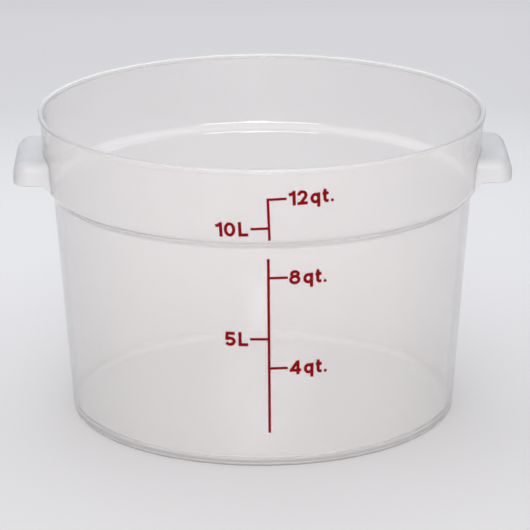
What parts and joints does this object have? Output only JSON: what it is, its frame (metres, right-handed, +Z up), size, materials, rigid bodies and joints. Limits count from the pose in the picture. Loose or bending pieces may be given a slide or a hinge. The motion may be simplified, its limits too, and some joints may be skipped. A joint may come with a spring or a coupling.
{
  "type": "round food storage container",
  "caption": "Open round plastic food container with a stacking shoulder, a beaded rim, hooded hand grips on both sides and a printed measuring scale.",
  "frame": {"origin": "on the table, under the middle of the round base", "axes": "+Z up along the axis of the vessel, +X towards the right-hand grip as seen when facing the printed scale, -Y out of the front where the scale is printed"},
  "size_m": [0.3406, 0.3074, 0.2125],
  "materials": {
    "vessel_plastic": "translucent polypropylene with a faint frost and a soft sheen",
    "scale_ink": "opaque dark red screen-print ink"
  },
  "bodies": {
    "root": {"container_body": "vessel_plastic", "handle_right": "vessel_plastic", "handle_left": "vessel_plastic", "scale_line_lower": "scale_ink", "scale_line_upper": "scale_ink", "scale_4qt_4": "scale_ink", "scale_4qt_q": "scale_ink", "scale_4qt_t": "scale_ink", "scale_4qt_stop": "scale_ink", "scale_8qt_8": "scale_ink", "scale_8qt_q": "scale_ink", "scale_8qt_t": "scale_ink", "scale_8qt_stop": "scale_ink", "scale_12qt_1": "scale_ink", "scale_12qt_2": "scale_ink", "scale_12qt_q": "scale_ink", "scale_12qt_t": "scale_ink", "scale_12qt_stop": "scale_ink", "scale_5L_5": "scale_ink", "scale_5L_L": "scale_ink", "scale_10L_1": "scale_ink", "scale_10L_0": "scale_ink", "scale_10L_L": "scale_ink"}
  },
  "joints": []
}
